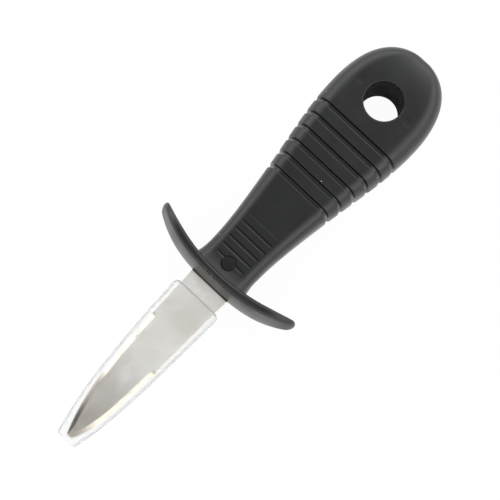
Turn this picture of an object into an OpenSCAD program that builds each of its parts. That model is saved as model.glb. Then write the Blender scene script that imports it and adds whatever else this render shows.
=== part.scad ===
// Oyster knife: moulded handle with a crescent guard, short spear blade, tang pin and clear sheath.
// Millimetres. X runs from the butt to the tip and Z across the flats. The origin is the middle of
// the hanging hole, on the plane where the two halves of the mould meet.

/* [Handle] */
// Distance from the butt end to the middle of the hanging hole
hole_to_butt = 20; // [17:0.2:26]
// Distance from the middle of the hanging hole to the front of the guard
hole_to_front = 78; // [72:0.2:90]
// Widest part of the handle
butt_w = 34.3; // [28:0.1:40]
// Width of the handle behind the neck, where the ribs end
rib_end_w = 25.2; // [22:0.1:27]
// Width of the neck at its narrowest
neck_w = 19; // [17:0.1:21]
// Thickness of the handle round the hanging hole
butt_t = 20.6; // [18:0.1:24]
// Thickness of the handle where the ribs end
rib_end_t = 18; // [15:0.1:19]
// Thickness of the neck at its thinnest
neck_t = 13.6; // [11:0.1:15]
// Part of the half width that each rounded shoulder takes
shoulder_share = 0.34; // [0.2:0.01:0.5]
// The same part at the butt end, where the shoulders run together into a dome
butt_shoulder_share = 0.66; // [0.5:0.01:0.8]
// Part of the half thickness that each rounded shoulder takes
shoulder_rise = 0.86; // [0.5:0.01:0.95]
// Fullness of the butt seen from above, where 2 is an ellipse
butt_fullness = 2.4; // [2:0.05:3]
// Fullness of the butt seen from the side
butt_edge_fullness = 3.9; // [2.4:0.1:5]

/* [Hanging hole] */
// Diameter of the hanging hole
hole_d = 12.7; // [8:0.1:14]
// Radius of the rounded rim on each side
hole_rim_r = 0.5; // [0.2:0.05:1]
// Diameter of the two round marks that the mould leaves beside the hole
mould_mark_d = 3.2; // [2:0.1:4]
// Depth of the mould marks
mould_mark_depth = 0.12; // [0.05:0.01:0.3]
// Distance from the handle's middle line to each mould mark
mould_mark_y = 9.9; // [9:0.1:10.5]

/* [Grip ribs] */
// Number of grooves round the handle
groove_count = 6; // [3:1:6]
// Distance from the hanging hole to the first groove
groove_start = 12.2; // [9.5:0.05:13]
// Distance between grooves
groove_pitch = 5.1; // [3.5:0.05:5.2]
// Width of a groove at the surface
groove_w = 1.9; // [1:0.1:2.4]
// Depth of a groove
groove_depth = 1.1; // [0.4:0.1:1.4]

/* [Thumb rest] */
// Number of fine grooves across the neck
thumb_count = 6; // [3:1:7]
// Distance between the fine grooves
thumb_pitch = 3; // [2:0.05:3.4]
// Width of a fine groove
thumb_w = 0.6; // [0.4:0.05:0.9]
// Depth of a fine groove
thumb_depth = 0.4; // [0.2:0.05:0.6]
// Length of a fine groove
thumb_len = 12.8; // [8:0.1:14]

/* [Guard] */
// Width of the guard from tip to tip
guard_span = 55.6; // [48:0.1:60]
// Height of the guard
guard_h = 22; // [20:0.1:26]
// Thickness of the guard at its middle, on the parting plane
guard_t = 3.9; // [3:0.1:5]
// How far the guard's face towards the blade falls back from its middle to the tips
guard_sweep = 7.1; // [6:0.1:8]
// How long that face stays nearly straight round the blade, where 2 is an even curve
guard_sweep_fullness = 2.8; // [2.4:0.1:3.4]
// Radius of the guard's face towards the hand
guard_back_r = 65; // [62:0.5:80]
// How far the front face falls back towards its upper and lower edges
guard_crown = 0.6; // [0.3:0.05:1]
// Radius of the guard's edges
guard_edge_r = 1.2; // [0.6:0.05:1.4]
// Radius of the fillet from the neck's flats up to the guard
flat_fillet_r = 4; // [2:0.1:5]
// Radius of the fillet from the neck's sides out to the guard
side_fillet_r = 20; // [9:0.5:26]

/* [Blade] */
// Length of the blade in front of the guard
blade_len = 63.1; // [55:0.1:75]
// Width of the blade at the guard
blade_w = 14.7; // [13:0.1:15.5]
// Thickness of the blade
blade_t = 2; // [1.5:0.1:2.5]
// Width of the blunt tip
tip_w = 1.9; // [1:0.1:3]
// Distance of the tip from the handle's middle line
tip_offset = 1.1; // [0:0.05:1.4]
// Part of its width that the blade loses by a straight taper, before its sides curve in to the tip
blade_taper = 0.26; // [0.1:0.01:0.4]
// Fullness of the curve of the blade's back
back_fullness = 8; // [5:0.1:11]
// Fullness of the curve of the blade's edge
edge_fullness = 4.5; // [3:0.1:7]
// Distance from the guard to where the edge is ground
edge_grind_start = 18.2; // [15:0.1:24]
// Distance from the guard to where the back is ground
back_grind_start = 31.4; // [26:0.1:40]
// Width of the ground bevels
bevel_w = 1.4; // [0.8:0.1:2]
// Thickness left at the ground edges
edge_t = 0.7; // [0.4:0.1:1.2]

/* [Tang] */
// Length of the tang inside the handle
tang_len = 46; // [30:0.5:52]
// Width of the tang
tang_w = 10; // [8:0.1:11]
// Length of the blade's full width inside the guard
shoulder_len = 3.5; // [2:0.1:4]
// Gap between the tang and the moulding round it
tang_clearance = 0.05; // [0.02:0.01:0.1]
// Diameter of the pin through the handle and the tang
pin_d = 4.6; // [3:0.1:5.2]
// Gap between the pin and its hole
pin_clearance = 0.05; // [0.02:0.01:0.1]
// How far the pin's ends lie below the flats
pin_recess = 0.15; // [0.05:0.05:0.4]
// Distance from the front of the guard back to the pin
pin_to_front = 8.3; // [7.5:0.1:10]

/* [Sheath] */
// Gap between the guard and the mouth of the sheath
mouth_gap = 5.3; // [2:0.1:8]
// Wall of the clear sheath
sheath_wall = 0.6; // [0.4:0.05:0.9]
// Gap between the blade's faces and the sheath
sheath_face_gap = 0.3; // [0.2:0.05:0.5]
// Least gap between the blade's edges and the sheath
sheath_side_gap = 0.3; // [0.2:0.05:0.6]
// Room that the sheath leaves beside the blade behind its rounded mouth
sheath_side_room = 1.1; // [0.7:0.05:1.6]
// Room that the sheath leaves on each side of the tip
sheath_tip_room = 1.95; // [1.4:0.05:2.6]
// Gap between the tip and the closed end
sheath_end_gap = 0.4; // [0.3:0.1:1.5]
// Thickness of the closed end
sheath_end_wall = 1.1; // [0.6:0.1:1.5]
// Length of the rounding at the corners of the mouth
mouth_round_len = 2.8; // [1.5:0.1:4]
// Part of its width that the sheath loses by a straight taper
sheath_taper = 0.4; // [0.3:0.01:0.5]
// Fullness of the curve of the sheath's side along the blade's back
sheath_back_fullness = 4.8; // [3.5:0.1:6]
// Fullness of the curve of the sheath's side along the blade's edge
sheath_edge_fullness = 3.6; // [3:0.1:5]

/* [Hidden] */
round_fn = 96;
overrun = 1;

// Steps of a rounded shoulder, and the start of the butt's arc, in degrees
shoulder_steps = 7;
butt_first = 4;

butt_x = -hole_to_butt;
front_x = hole_to_front;
widest_x = 4;
groove_end = groove_start + (groove_count - 1) * groove_pitch;
rib_end_x = groove_end + groove_w / 2;
taper_slope = -0.148;
thickness_slope = -0.1;

guard_half_h = guard_h / 2;
guard_half_span = guard_span / 2;
guard_tip_r = 1.6;
guard_back_x = front_x - guard_t;
back_axis_x = guard_back_x - guard_back_r;

// The fillet on the flats ends just inside the guard and stays below its edge
flat_r = min(flat_fillet_r, guard_half_h - neck_t / 2 - 0.2);
flat_fillet_x = guard_back_x + 0.45 - flat_r;
neck_x = guard_back_x - 6.5;
handle_end_x = guard_back_x + guard_t / 2;

pin_x = front_x - pin_to_front;
thumb_last_x = pin_x - 0.6;

blade_tip_x = front_x + blade_len;
tang_x = front_x - tang_len;
shoulder_x = front_x - shoulder_len;
grind_run_in = 1.2;

mouth_x = front_x + mouth_gap;
sheath_inner_end = blade_tip_x + sheath_end_gap;
sheath_end_x = sheath_inner_end + sheath_end_wall;

function clamp01(w) = max(0, min(1, w));
function smooth(w) = w * w * (3 - 2 * w);

// Height of a rounded outline at the share u of its half length, with 2 as an ellipse
function rounded(u, fullness) = pow(max(0, 1 - pow(abs(u), fullness)), 1 / fullness);

// Smooth curve from the height a at x0 to the height b at x1, with the slopes sa and sb
function flow(x, x0, x1, a, b, sa, sb) =
    let (span = x1 - x0, w = (x - x0) / span)
    a * (1 - smooth(w)) + b * smooth(w)
    + span * (sa * w * (1 - w) * (1 - w) - sb * w * w * (1 - w));

// Rise of a concave fillet of radius r at the distance d past its start
function fillet(d, r) = d <= 0 ? 0 : r - sqrt(max(0, r * r - d * d));

// Three heights joined into one profile: at the widest place, at the last rib and at the neck
function profile(x, widest, rib_end, neck, slope, fullness) =
    x < widest_x ? widest * rounded((widest_x - x) * cos(butt_first) / (widest_x - butt_x), fullness)
    : x < rib_end_x ? flow(x, widest_x, rib_end_x, widest, rib_end, 0, slope)
    : x < neck_x ? flow(x, rib_end_x, neck_x, rib_end, neck, slope, 0)
    : neck;

// Depth of the groove nearest to x, with rounded lips and a flat bottom
function groove_at(x) =
    let (k = max(0, min(groove_count - 1, round((x - groove_start) / groove_pitch))))
    let (u = abs(x - groove_start - k * groove_pitch) / (groove_w / 2))
    groove_depth * (1 - smooth(clamp01((u - 0.3) / 0.7)));

function half_w(x) =
    profile(x, butt_w / 2, rib_end_w / 2, neck_w / 2, taper_slope, butt_fullness)
    + fillet(x - neck_x, side_fillet_r) - groove_at(x);

function half_t(x) =
    profile(x, butt_t / 2, rib_end_t / 2, neck_t / 2, thickness_slope, butt_edge_fullness)
    + fillet(x - flat_fillet_x, flat_r) - groove_at(x);

// Ring of a rounded rectangle with elliptical shoulders, across the X axis
function shoulder_ring(x, w, t, rw, rt, steps) = [
    for (q = [0:3], i = [0:steps])
        let (a = q % 2 == 0 ? 90 * i / steps : 90 - 90 * i / steps)
        let (side = q == 0 || q == 3 ? 1 : -1, up = q < 2 ? 1 : -1)
        [x, side * (w - rw + rw * cos(a)), up * (t - rt + rt * sin(a))]
];

// Share of the half width in a shoulder, which grows from the widest place to the butt end
function shoulder_at(x) =
    let (u = clamp01((widest_x - x) / (widest_x - butt_x)))
    shoulder_share + (butt_shoulder_share - shoulder_share) * pow(u, 3);

function handle_ring(x) =
    let (w = half_w(x), t = half_t(x))
    shoulder_ring(x, w, t, w * shoulder_at(x), t * shoulder_rise, shoulder_steps);

// Places of the handle's rings: close together where its outline turns quickly
handle_stations = concat(
    [for (a = [butt_first, 9, 16, 24, 33, 43, 54, 66, 78])
        widest_x - (widest_x - butt_x) * cos(a) / cos(butt_first)],
    [widest_x, (widest_x + groove_start - groove_w / 2) / 2],
    [for (k = [0:groove_count - 1], u = [-1, -0.66, -0.36, 0.36, 0.66, 1])
        groove_start + k * groove_pitch + u * groove_w / 2],
    [for (i = [1:8]) rib_end_x + (neck_x - rib_end_x) * i / 8],
    [for (a = [0:15:90]) flat_fillet_x + flat_r * sin(a)],
    [handle_end_x]
);

// Skin over rings that all have the same number of points, closed at both ends
module loft(rings) {
    n = len(rings[0]);
    last = (len(rings) - 1) * n;
    polyhedron(
        points = [for (ring = rings) each ring],
        faces = concat(
            [[for (k = [0:n - 1]) k], [for (k = [n - 1:-1:0]) last + k]],
            [for (i = [0:len(rings) - 2], k = [0:n - 1])
                let (a = i * n + k, b = i * n + (k + 1) % n)
                each [[a, a + n, b], [b, a + n, b + n]]]
        ),
        convexity = 6
    );
}

// Height of the guard above the parting plane, rounded off towards the tips
function guard_rise(y) =
    let (d = max(0, abs(y) - (guard_half_span - guard_half_h)))
    sqrt(max(0, guard_half_h * guard_half_h - d * d));

// Share of the guard's thickness that is left near the rounded tips
function tip_share(y) =
    let (d = max(0, abs(y) - (guard_half_span - guard_tip_r)) / guard_tip_r)
    sqrt(max(0, 1 - d * d));

// Ring across one arm: a straight face to the hand and a crowned face to the blade
function guard_ring(y) =
    let (back = back_axis_x + sqrt(guard_back_r * guard_back_r - y * y))
    let (front = front_x - guard_sweep * pow(abs(y) / guard_half_span, guard_sweep_fullness))
    let (middle = (back + front) / 2, half = (front - back) / 2 * tip_share(y))
    let (h = guard_rise(y), e = min(guard_edge_r, half * 0.62, h * 0.4))
    [
        for (a = [180:30:270]) [middle - half + e + e * cos(a), y, e - h + e * sin(a)],
        for (a = [270:30:360])
            [middle + half - guard_crown * tip_share(y) - e + e * cos(a), y, e - h + e * sin(a)],
        for (z = [-0.6:0.3:0.6])
            [middle + half - guard_crown * tip_share(y) * z * z, y, z * h],
        for (a = [0:30:90])
            [middle + half - guard_crown * tip_share(y) - e + e * cos(a), y, h - e + e * sin(a)],
        for (a = [90:30:180]) [middle - half + e + e * cos(a), y, h - e + e * sin(a)]
    ];

module guard() {
    tip_gap = 0.02;
    loft([for (a = [-90:6:90]) guard_ring(-(guard_half_span - tip_gap) * sin(a))]);
}

module hanging_hole() {
    cylinder(h = butt_t + 2 * overrun, d = hole_d, center = true, $fn = round_fn);
    for (side = [0, 1]) mirror([0, 0, side])
        rotate_extrude($fn = round_fn) difference() {
            translate([0, butt_t / 2 - hole_rim_r]) square([hole_d / 2 + hole_rim_r, hole_rim_r + overrun]);
            translate([hole_d / 2 + hole_rim_r, butt_t / 2 - hole_rim_r]) circle(hole_rim_r, $fn = 48);
        }
}

module mould_marks() {
    for (side = [-1, 1])
        translate([0, side * mould_mark_y, butt_t / 2 - mould_mark_depth])
            cylinder(h = overrun, d = mould_mark_d, $fn = 48);
}

// Fine grooves on both flats of the neck, each as deep as the others on the sloping surface
module thumb_grooves() {
    for (k = [0:thumb_count - 1], side = [-1, 1])
        let (x = thumb_last_x - k * thumb_pitch, z = half_t(x) - thumb_depth)
        translate([x - thumb_w / 2, -thumb_len / 2, side > 0 ? z : -z - overrun])
            cube([thumb_w, thumb_len, overrun]);
}

module tang_shape(grow) {
    translate([tang_x + tang_w / 2, 0]) circle(tang_w / 2 + grow, $fn = round_fn);
    translate([tang_x + tang_w / 2, -tang_w / 2 - grow])
        square([shoulder_x - tang_x - tang_w / 2 + overrun, tang_w + 2 * grow]);
    translate([shoulder_x - grow, -blade_w / 2 - grow])
        square([shoulder_len + grow, blade_w + 2 * grow]);
}

// Room for the tang in the moulding, open at the front of the guard
module tang_room() {
    linear_extrude(blade_t + 2 * tang_clearance, center = true) {
        tang_shape(tang_clearance);
        translate([front_x - overrun, -blade_w / 2 - tang_clearance])
            square([2 * overrun, blade_w + 2 * tang_clearance]);
    }
}

module handle() {
    color("#2b2c2e") difference() {
        union() {
            loft([for (x = handle_stations) handle_ring(x)]);
            guard();
        }
        hanging_hole();
        mould_marks();
        thumb_grooves();
        tang_room();
        translate([pin_x, 0, 0])
            cylinder(h = guard_h + 2 * overrun, d = pin_d + 2 * pin_clearance, center = true, $fn = round_fn);
    }
}

// Share of its width that a side has lost at w of its length: a straight taper, then a curve
function narrowing(w, taper, fullness) = taper * w + (1 - taper) * pow(w, fullness);

// Distance of the blade's back or edge from the middle line
function blade_side(x, tip, fullness) =
    tip + (blade_w / 2 - tip) * (1 - narrowing(clamp01((x - front_x) / blade_len), blade_taper, fullness));
function blade_back(x) = blade_side(x, tip_w / 2 + tip_offset, back_fullness);
function blade_edge(x) = blade_side(x, tip_w / 2 - tip_offset, edge_fullness);

// The tang, its shoulders and the blade as one stamped plate
module blade_plate() {
    bend = [for (i = [0:20]) front_x + blade_len * sin(4.5 * i)];
    tang_shape(0);
    polygon(concat(
        [[shoulder_x, -blade_w / 2]],
        [for (x = bend) [x, -blade_edge(x)]],
        [for (i = [20:-1:0]) [bend[i], blade_back(bend[i])]],
        [[shoulder_x, blade_w / 2]]
    ));
}

// Ring of the cutter that grinds one bevel: it leaves the flat at the start of the grind
function grind_ring(x, start, side_y) =
    let (drop = (blade_t - edge_t) / 2, slope = drop / bevel_w)
    let (lift = (1 - clamp01((x - start) / grind_run_in)) * (drop + slope * overrun + 0.05))
    let (inner = side_y - bevel_w, outer = side_y + overrun, top = blade_t / 2)
    [
        [x, inner, top + lift], [x, outer, top - drop - slope * overrun + lift],
        [x, outer, top + 2 * overrun], [x, inner, top + 2 * overrun]
    ];

function grind_stations(start) =
    let (reach = blade_tip_x - start)
    [for (i = [0:22]) i == 22 ? blade_tip_x + overrun
        : start + (i < 2 ? grind_run_in * i : grind_run_in + (reach - grind_run_in) * sin(90 * (i - 1) / 20))];

// The two bevels along the back, and along the edge
module back_grind(start) {
    for (face = [0, 1]) mirror([0, 0, face])
        loft([for (x = grind_stations(start)) grind_ring(x, start, blade_back(x))]);
}
module edge_grind(start) {
    for (face = [0, 1]) mirror([0, 0, face]) mirror([0, 1, 0])
        loft([for (x = grind_stations(start)) grind_ring(x, start, blade_edge(x))]);
}

module blade() {
    color("#b9b8b4") difference() {
        linear_extrude(blade_t, center = true) blade_plate();
        translate([pin_x, 0, 0])
            cylinder(h = blade_t + 2 * overrun, d = pin_d + 2 * pin_clearance, center = true, $fn = round_fn);
        back_grind(front_x + back_grind_start);
        edge_grind(front_x + edge_grind_start);
    }
}

module tang_pin() {
    color("#232426") translate([pin_x, 0, 0])
        cylinder(h = 2 * (half_t(pin_x) - pin_recess), d = pin_d, center = true, $fn = round_fn);
}

// Inner side of the sheath on the side of the blade's back or edge, never closer than the side gap
function sheath_side(x, tip, fullness, blade_here) =
    let (w = clamp01((x - mouth_x) / (sheath_end_x - mouth_x)))
    let (root = blade_w / 2 + sheath_side_room, end = tip + sheath_tip_room)
    let (mouth = clamp01((x - mouth_x) / mouth_round_len))
    let (round_in = (sheath_side_room - sheath_side_gap) * (1 - sqrt(1 - (1 - mouth) * (1 - mouth))))
    let (side = end + (root - end) * (1 - narrowing(w, sheath_taper, fullness)))
    max(blade_here + sheath_side_gap, side - round_in);

// Ring across the sheath, grown outwards by grow from its inner face
function sheath_ring(x, grow, trim) =
    let (back = blade_back(min(x, blade_tip_x)), edge = blade_edge(min(x, blade_tip_x)))
    let (up = sheath_side(x, tip_w / 2 + tip_offset, sheath_back_fullness, back) + grow - trim)
    let (down = sheath_side(x, tip_w / 2 - tip_offset, sheath_edge_fullness, edge) + grow - trim)
    let (t = blade_t / 2 + sheath_face_gap + grow - trim * 0.3)
    let (ring = shoulder_ring(x, (up + down) / 2, t, t * 0.9, t * 0.9, 5))
    [for (p = ring) p + [0, (up - down) / 2, 0]];

function sheath_stations(from, to) = concat(
    [for (a = [0:30:90]) from + mouth_round_len * sin(a) * sin(a)],
    [for (i = [1:12]) from + mouth_round_len + (to - from - mouth_round_len) * i / 12]
);

module sheath() {
    corner = min(sheath_end_wall, 1.1);
    color([0.86, 0.9, 0.93, 0.35]) difference() {
        loft(concat(
            [for (x = sheath_stations(mouth_x, sheath_end_x - corner)) sheath_ring(x, sheath_wall, 0)],
            [for (a = [30:30:90])
                sheath_ring(sheath_end_x - corner + corner * sin(a), sheath_wall, corner * (1 - cos(a)))]
        ));
        loft(concat(
            [sheath_ring(mouth_x - overrun, 0, 0)],
            [for (x = sheath_stations(mouth_x, sheath_inner_end)) sheath_ring(x, 0, 0)]
        ));
    }
}

handle();
blade();
tang_pin();
sheath();
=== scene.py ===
"""Looks of an oyster knife: a moulded handle with its guard, a ground blade, the tang pin and a clear sheath.

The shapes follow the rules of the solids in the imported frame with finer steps. They add small forms that the
solids leave out: lipped grooves, a crowned guard, chamfered thumb grooves and a flared slot round the blade.
Lengths are written in millimetres and turned to metres as each mesh is made. X runs from the butt to the tip
and Z out of the upper flat. The origin is the middle of the hanging hole, on the plane where the mould parts.
"""

import logging
import math
from collections.abc import Mapping, Sequence
from dataclasses import dataclass
from enum import Enum
from typing import Any

import bpy
import numpy as np
from bpy.types import Material, Node, NodeSocket, NodeTree, Object
from mathutils import Matrix, Vector


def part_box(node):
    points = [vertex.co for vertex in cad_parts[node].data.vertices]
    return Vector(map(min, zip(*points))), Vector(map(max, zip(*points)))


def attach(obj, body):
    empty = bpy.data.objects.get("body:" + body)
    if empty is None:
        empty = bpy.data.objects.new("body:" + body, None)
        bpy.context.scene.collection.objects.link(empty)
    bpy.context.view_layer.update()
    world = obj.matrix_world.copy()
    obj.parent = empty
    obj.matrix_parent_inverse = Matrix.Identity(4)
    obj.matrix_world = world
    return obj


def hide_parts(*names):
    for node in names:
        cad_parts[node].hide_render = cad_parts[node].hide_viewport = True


MM = 0.001
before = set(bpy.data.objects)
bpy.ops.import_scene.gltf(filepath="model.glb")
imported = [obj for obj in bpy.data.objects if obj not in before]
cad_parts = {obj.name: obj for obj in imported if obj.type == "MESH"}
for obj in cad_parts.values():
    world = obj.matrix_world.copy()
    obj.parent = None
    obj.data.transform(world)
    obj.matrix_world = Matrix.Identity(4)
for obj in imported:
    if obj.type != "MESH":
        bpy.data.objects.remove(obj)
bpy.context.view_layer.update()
log = logging.getLogger("oyster_knife")


def box_mm(node: str) -> tuple[list[float], list[float]]:
    """Gives the lowest and the highest corner of a CAD node in millimetres."""
    low, high = ([round(value / MM, 3) for value in corner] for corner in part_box(node))
    return low, high


HANDLE_LOW, HANDLE_HIGH = box_mm("handle")
BLADE_LOW, BLADE_HIGH = box_mm("blade")
PIN_LOW, PIN_HIGH = box_mm("tang_pin")
SHEATH_LOW, SHEATH_HIGH = box_mm("sheath")


class Flat(Enum):
    """The two flats of the handle, by the sign of their Z."""

    UPPER = 1
    LOWER = -1


class BladeSide(Enum):
    """The two long sides of the blade, by the sign of their Y."""

    BACK = 1
    EDGE = -1


def linear(code: str) -> tuple[float, float, float, float]:
    """Turns an sRGB colour, written as #rrggbb, into the linear values that a shader takes."""
    parts = [int(code[i:i + 2], 16) / 255 for i in (1, 3, 5)]
    return (*(c / 12.92 if c <= 0.04045 else ((c + 0.055) / 1.055) ** 2.4 for c in parts), 1.0)


def feed(node: Node, inputs: Mapping[str, Any] | Sequence[Any]) -> None:
    """Sets or links inputs of a node.

    Args:
        node: the node that is fed.
        inputs: values by socket name, or in the order of the sockets that the node's settings leave on. An
            output given as a value is linked, and a node is linked by the first output that is left on.
    """
    if not isinstance(inputs, Mapping):
        inputs = dict(zip((i for i, socket in enumerate(node.inputs) if socket.enabled), inputs))
    for key, value in inputs.items():
        if isinstance(value, Node):
            value = next(socket for socket in value.outputs if socket.enabled)
        if isinstance(value, NodeSocket):
            node.id_data.links.new(value, node.inputs[key])
        else:
            node.inputs[key].default_value = value


def add_node(tree: NodeTree, kind: str, inputs: Mapping[str, Any] | Sequence[Any] = (),
             **settings: Any) -> Node:
    """Adds one node with its settings, values and links.

    Args:
        tree: the tree that gets the node.
        kind: the node's type name.
        inputs: what the node is fed with.
        settings: attributes of the node itself.

    Returns:
        The new node.
    """
    node = tree.nodes.new(kind)
    for name, value in settings.items():
        setattr(node, name, value)
    feed(node, inputs)
    return node


def start_material(name: str) -> tuple[Material, NodeTree, Node, NodeSocket]:
    """Starts a material.

    Args:
        name: the finish that it is named for.

    Returns:
        The material, its tree, its shader and the coordinates of the piece's own object.
    """
    material = bpy.data.materials.new(name)
    material.use_nodes = True
    tree = material.node_tree
    place = add_node(tree, "ShaderNodeTexCoord").outputs["Object"]
    return material, tree, tree.nodes["Principled BSDF"], place


def clamp01(w: np.ndarray) -> np.ndarray:
    """Keeps a share between 0 and 1."""
    return np.clip(w, 0.0, 1.0)


def smooth(w: np.ndarray) -> np.ndarray:
    """Eases a share in and out."""
    return w * w * (3 - 2 * w)


def rounded(u: np.ndarray, fullness: float) -> np.ndarray:
    """Height of a rounded outline at the share u of its half length, an ellipse where the fullness is 2."""
    return np.maximum(0.0, 1 - np.abs(u) ** fullness) ** (1 / fullness)


def flow(x: np.ndarray, ends: tuple[float, float], heights: tuple[float, float],
         slopes: tuple[float, float]) -> np.ndarray:
    """Smooth curve between two heights with a given slope at each end.

    Args:
        x: places along the curve.
        ends: where the curve starts and ends.
        heights: its heights there.
        slopes: its slopes there.

    Returns:
        The height at each place.
    """
    span = ends[1] - ends[0]
    w = clamp01((x - ends[0]) / span)
    eased = heights[0] * (1 - smooth(w)) + heights[1] * smooth(w)
    return eased + span * (slopes[0] * w * (1 - w) ** 2 - slopes[1] * w ** 2 * (1 - w))


def fillet(d: np.ndarray, r: float) -> np.ndarray:
    """Rise of a concave fillet of radius r at the distance d past its start."""
    return np.where(d <= 0, 0.0, r - np.sqrt(np.maximum(0.0, r * r - d * d)))


def shoulder_ring(w: float, t: float, rw: float, rt: float, steps: int, flat_steps: int) -> np.ndarray:
    """Ring of a rounded rectangle with elliptical shoulders, seen along X.

    Args:
        w: half width along Y.
        t: half thickness along Z.
        rw: width that each shoulder takes.
        rt: thickness that each shoulder takes.
        steps: steps of one shoulder.
        flat_steps: steps across each flat.

    Returns:
        Points as rows of Y and Z, counterclockwise from the middle of the +Y side.
    """
    angles = np.linspace(0, math.pi / 2, steps + 1)
    arc = np.stack([w - rw + rw * np.cos(angles), t - rt + rt * np.sin(angles)], 1)
    across = np.linspace(w - rw, rw - w, flat_steps + 1)[1:-1]
    top = np.stack([across, np.full_like(across, t)], 1)
    half = np.concatenate([arc, top, arc[::-1] * [-1, 1]])
    return np.concatenate([half, -half])


def piece_from(name: str, points: np.ndarray, faces: Sequence[Sequence[int]]) -> Object:
    """Makes a mesh object at the origin from points in millimetres.

    Args:
        name: the object's name.
        points: rows of X, Y and Z.
        faces: point numbers of each face.

    Returns:
        The new object, linked to the scene.
    """
    mesh = bpy.data.meshes.new(name)
    mesh.from_pydata((np.asarray(points) * MM).tolist(), [], [list(map(int, f)) for f in faces])
    mesh.validate()
    piece = bpy.data.objects.new(name, mesh)
    bpy.context.scene.collection.objects.link(piece)
    return piece


def loft(name: str, rings: Sequence[Any],
         poles: tuple[Sequence[float] | None, Sequence[float] | None] = (None, None)) -> Object:
    """Skins rings of equal point counts into a closed shell.

    Args:
        name: the object's name.
        rings: rings of points, each with the same number of them.
        poles: the point that closes each end, or None for one flat face.

    Returns:
        The new object, with its faces pointing outwards.
    """
    rings = np.array(rings)
    count, n, _ = rings.shape
    a = np.arange(n)
    b = (a + 1) % n
    faces: list[Sequence[int]] = []
    for here in range(0, (count - 1) * n, n):
        faces += np.stack([here + a, here + b, here + n + b, here + n + a], 1).tolist()
    points = [rings.reshape(-1, 3)]
    extra = count * n
    for pole, first, turn in ((poles[0], 0, 1), (poles[1], (count - 1) * n, -1)):
        if pole is None:
            faces.append((first + a[::-turn]).tolist())
            continue
        points.append(np.array([pole], float))
        faces += [(first + q, first + p, extra)[::turn] for p, q in zip(a, b)]
        extra += 1
    piece = piece_from(name, np.concatenate(points), faces)
    point_outwards(piece)
    return piece


def both_ends(upper: Sequence[tuple[float, float]]) -> list[tuple[float, float]]:
    """Adds the mirror image of a profile's upper end below it."""
    return [(r, -z) for r, z in upper[::-1]] + list(upper)


def lathe(name: str, profile: Sequence[tuple[float, float]], at: tuple[float, float], steps: int) -> Object:
    """Turns a profile round an axis that runs along Z.

    Args:
        name: the object's name.
        profile: radius and height of each point, from the lower end to the upper one.
        at: X and Y of the axis.
        steps: steps of the full turn.

    Returns:
        The new object, closed by a pole at each end.
    """
    angles = np.linspace(0, 2 * math.pi, steps, endpoint=False)
    rings = [[(at[0] + r * math.cos(q), at[1] + r * math.sin(q), z) for q in angles] for r, z in profile]
    return loft(name, rings, ((*at, profile[0][1]), (*at, profile[-1][1])))


def point_outwards(piece: Object) -> None:
    """Turns the faces of a closed shell outwards.

    Args:
        piece: the shell, whose faces agree with each other.
    """
    mesh = piece.data
    mesh.update()
    co = np.empty(len(mesh.vertices) * 3)
    mesh.vertices.foreach_get("co", co)
    mesh.calc_loop_triangles()
    corners = np.empty(len(mesh.loop_triangles) * 3, int)
    mesh.loop_triangles.foreach_get("vertices", corners)
    p, q, r = (co.reshape(-1, 3)[corners.reshape(-1, 3)[:, i]] for i in range(3))
    if np.einsum("ij,ij->i", p, np.cross(q, r)).sum() < 0:
        mesh.flip_normals()


def apply_modifiers(piece: Object) -> None:
    """Turns a piece with its live modifiers into a plain mesh.

    Args:
        piece: the piece, which loses its modifiers.
    """
    depsgraph = bpy.context.evaluated_depsgraph_get()
    plain = bpy.data.meshes.new_from_object(piece.evaluated_get(depsgraph))
    piece.modifiers.clear()
    old, piece.data = piece.data, plain
    plain.name = piece.name
    bpy.data.meshes.remove(old)


def cut(piece: Object, tool: Object, operation: str = "DIFFERENCE") -> None:
    """Cuts a tool out of a piece, or joins it on, and removes the tool.

    Args:
        piece: the closed mesh that changes.
        tool: the closed mesh that is used up.
        operation: DIFFERENCE or UNION.
    """
    modifier = piece.modifiers.new("cut", "BOOLEAN")
    modifier.operation = operation
    modifier.solver = "MANIFOLD"
    modifier.object = tool
    apply_modifiers(piece)
    bpy.data.objects.remove(tool)


def shade(piece: Object, crease: float) -> None:
    """Shades a piece smooth, but for its creases.

    The normals are weighted by area, because the cuts leave slivers between the larger faces.

    Args:
        piece: the piece that is shaded.
        crease: degrees between two faces from which their edge is a crease.
    """
    piece.data.shade_smooth()
    piece.data.set_sharp_from_angle(angle=math.radians(crease))
    piece.modifiers.new("weighted_normals", "WEIGHTED_NORMAL").keep_sharp = True
    apply_modifiers(piece)


def dress(piece: Object, material: Material, body: str, node: str) -> None:
    """Gives a finished piece its finish and its place in the frame.

    Args:
        piece: the finished piece.
        material: its finish.
        body: the body that it rides on.
        node: the CAD node that it stands for.
    """
    piece.data.materials.clear()
    piece.data.materials.append(material)
    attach(piece, body)
    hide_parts(node)


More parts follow.
